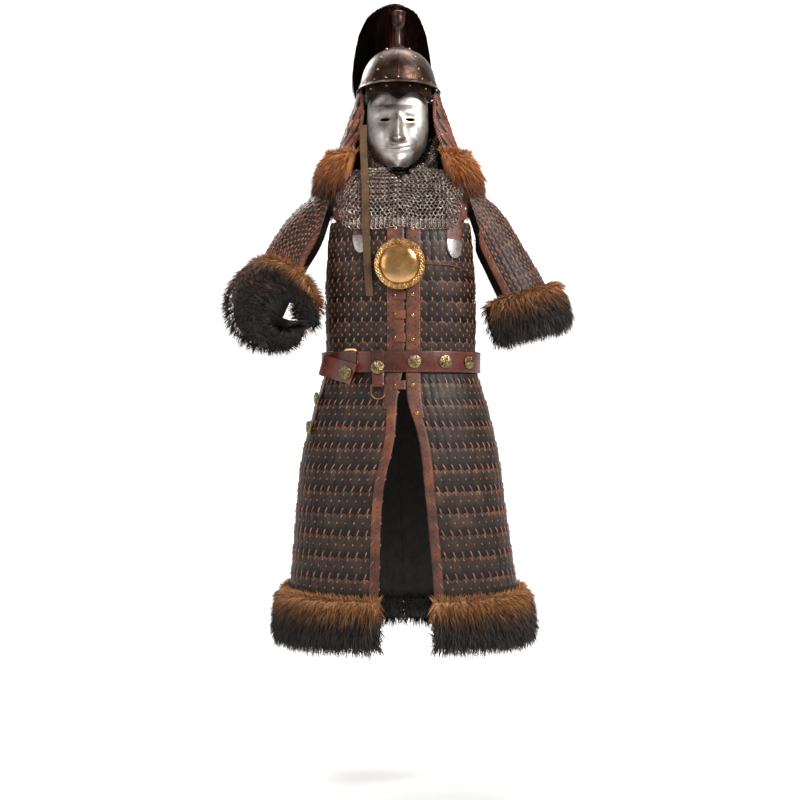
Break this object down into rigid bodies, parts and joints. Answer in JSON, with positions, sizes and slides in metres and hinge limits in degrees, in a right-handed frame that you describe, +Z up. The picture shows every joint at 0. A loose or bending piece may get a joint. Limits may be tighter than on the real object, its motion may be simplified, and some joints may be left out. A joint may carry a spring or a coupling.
{
  "type": "lamellar armour",
  "caption": "Steppe lamellar armour, worn shape, empty: laced coat with split fur-hemmed skirt, arm guards, belt, mail mantle, plumed helmet, face mask and aventail",
  "frame": {"origin": "base of the wearer's neck, in the middle, where the wearer's shoulders carry the armour", "axes": "+Z up along the wearer, front facing -Y, the wearer's left +X"},
  "size_m": [0.8365, 0.4782, 1.574],
  "materials": {
    "lamellae": "hardened dark brown leather plates, satin, laced with orange-brown thongs",
    "strap_leather": "reddish brown strap leather, satin",
    "belt_leather": "mahogany belt leather, polished",
    "brass": "polished brass, a little worn",
    "antique_brass": "antique flower studs, dark in the hollows",
    "steel": "bare steel, hammered and hand polished",
    "helmet_metal": "browned iron with a satin patina",
    "mail": "riveted steel rings, slightly brown",
    "fur": "long fur, tan at the roots to black brown at the tips",
    "plume_hair": "black brown horse hair",
    "ribbon": "golden brown woven ribbon, matt"
  },
  "bodies": {
    "armour": {"front_panel_left": "lamellae", "front_panel_right": "lamellae", "back_panel": "lamellae", "skirt_left": "lamellae", "skirt_right": "lamellae", "arm_guard_left": "lamellae", "arm_guard_right": "lamellae", "shoulder_strap_left": "strap_leather", "shoulder_strap_right": "strap_leather", "arm_binding_front_left": "strap_leather", "arm_binding_front_right": "strap_leather", "arm_binding_back_left": "strap_leather", "arm_binding_back_right": "strap_leather", "strap_end_left": "strap_leather", "strap_end_right": "strap_leather", "placket_left": "strap_leather", "placket_right": "strap_leather", "edge_strip_left": "strap_leather", "edge_strip_right": "strap_leather", "toggle_1": "strap_leather", "toggle_2": "strap_leather", "toggle_3": "strap_leather", "toggle_4": "strap_leather", "disc_cord": "strap_leather", "aventail": "strap_leather", "cuff_fur_left": "fur", "cuff_fur_right": "fur", "hem_fur_left": "fur", "hem_fur_right": "fur", "aventail_fur": "fur", "belt": "belt_leather", "belt_end": "belt_leather", "belt_tab": "belt_leather", "hanging_strap": "belt_leather", "breast_disc": "brass", "buckle": "brass", "rosette_1": "antique_brass", "rosette_2": "antique_brass", "rosette_3": "antique_brass", "rosette_4": "antique_brass", "rosette_5": "antique_brass", "rosette_6": "antique_brass", "rosette_7": "antique_brass", "strap_tip_left": "steel", "strap_tip_right": "steel", "face_mask": "steel", "helmet_bowl": "helmet_metal", "brow_plate": "helmet_metal", "finial": "helmet_metal", "mail_mantle": "mail", "plume": "plume_hair", "helmet_ribbon": "ribbon"},
    "hanging_loop": {"belt_loop": "brass"}
  },
  "joints": [
    {"name": "belt_loop_swing", "type": "hinge", "parent": "armour", "child": "hanging_loop", "pos_m": [-0.052, -0.16297, -0.489], "axis": [-1, 0, 0], "range_deg": [0, 75]}
  ]
}
